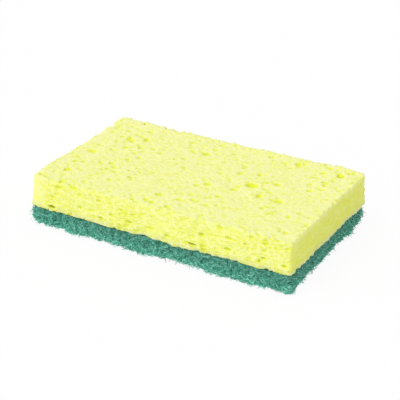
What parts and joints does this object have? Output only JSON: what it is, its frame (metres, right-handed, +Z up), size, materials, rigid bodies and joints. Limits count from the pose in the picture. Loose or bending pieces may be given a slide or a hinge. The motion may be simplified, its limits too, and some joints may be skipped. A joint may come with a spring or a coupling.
{
  "type": "cellulose sponge",
  "caption": "Rectangular household scrub sponge: a porous cellulose block for wiping and soaking up, with a fibrous scouring pad bonded under it.",
  "frame": {"origin": "middle of the bounding box of the whole sponge, at the height of the pad's underside, where it rests on a table", "axes": "+X along the sponge's length, +Y across its width, +Z up from the scouring pad through the cellulose block"},
  "size_m": [0.1123, 0.0657, 0.0213],
  "materials": {
    "cellulose_foam": "matte, open-pored",
    "scouring_fibre": "matte, fibrous"
  },
  "bodies": {
    "root": {"sponge_block": "cellulose_foam", "scouring_pad": "scouring_fibre"}
  },
  "joints": []
}
